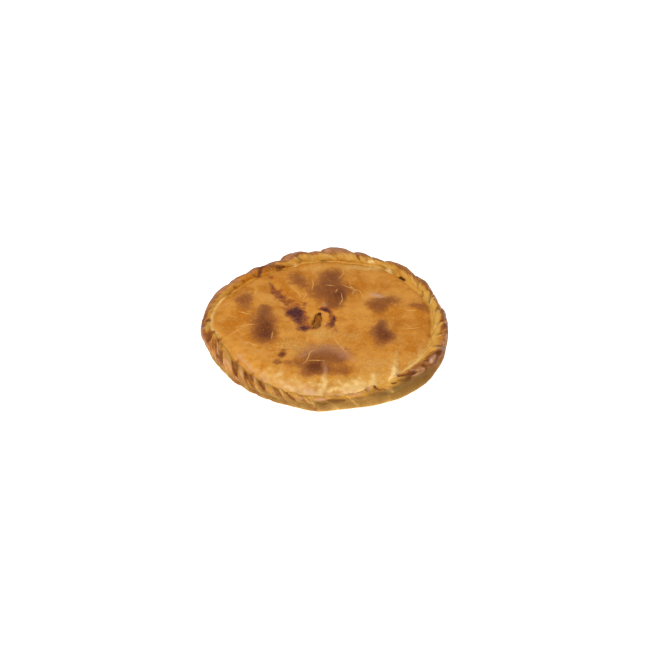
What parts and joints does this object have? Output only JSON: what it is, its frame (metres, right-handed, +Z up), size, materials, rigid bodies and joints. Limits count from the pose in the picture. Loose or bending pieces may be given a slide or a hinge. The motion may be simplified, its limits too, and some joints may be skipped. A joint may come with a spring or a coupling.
{
  "type": "empanada",
  "caption": "Whole round savoury pie with a flat foot, a bulging wall, a rope-crimped rim, a pillowed browned lid and a central steam vent.",
  "frame": {"origin": "middle of the outline, on the flat underside", "axes": "+Z up through the lid, -Y towards the viewer of the picture, +X to the viewer's right"},
  "size_m": [0.2582, 0.2522, 0.0315],
  "materials": {
    "baked_crust": "golden baked dough with a satin egg wash, dark brown patches and dark juice stains"
  },
  "bodies": {
    "root": {"crust": "baked_crust"}
  },
  "joints": []
}
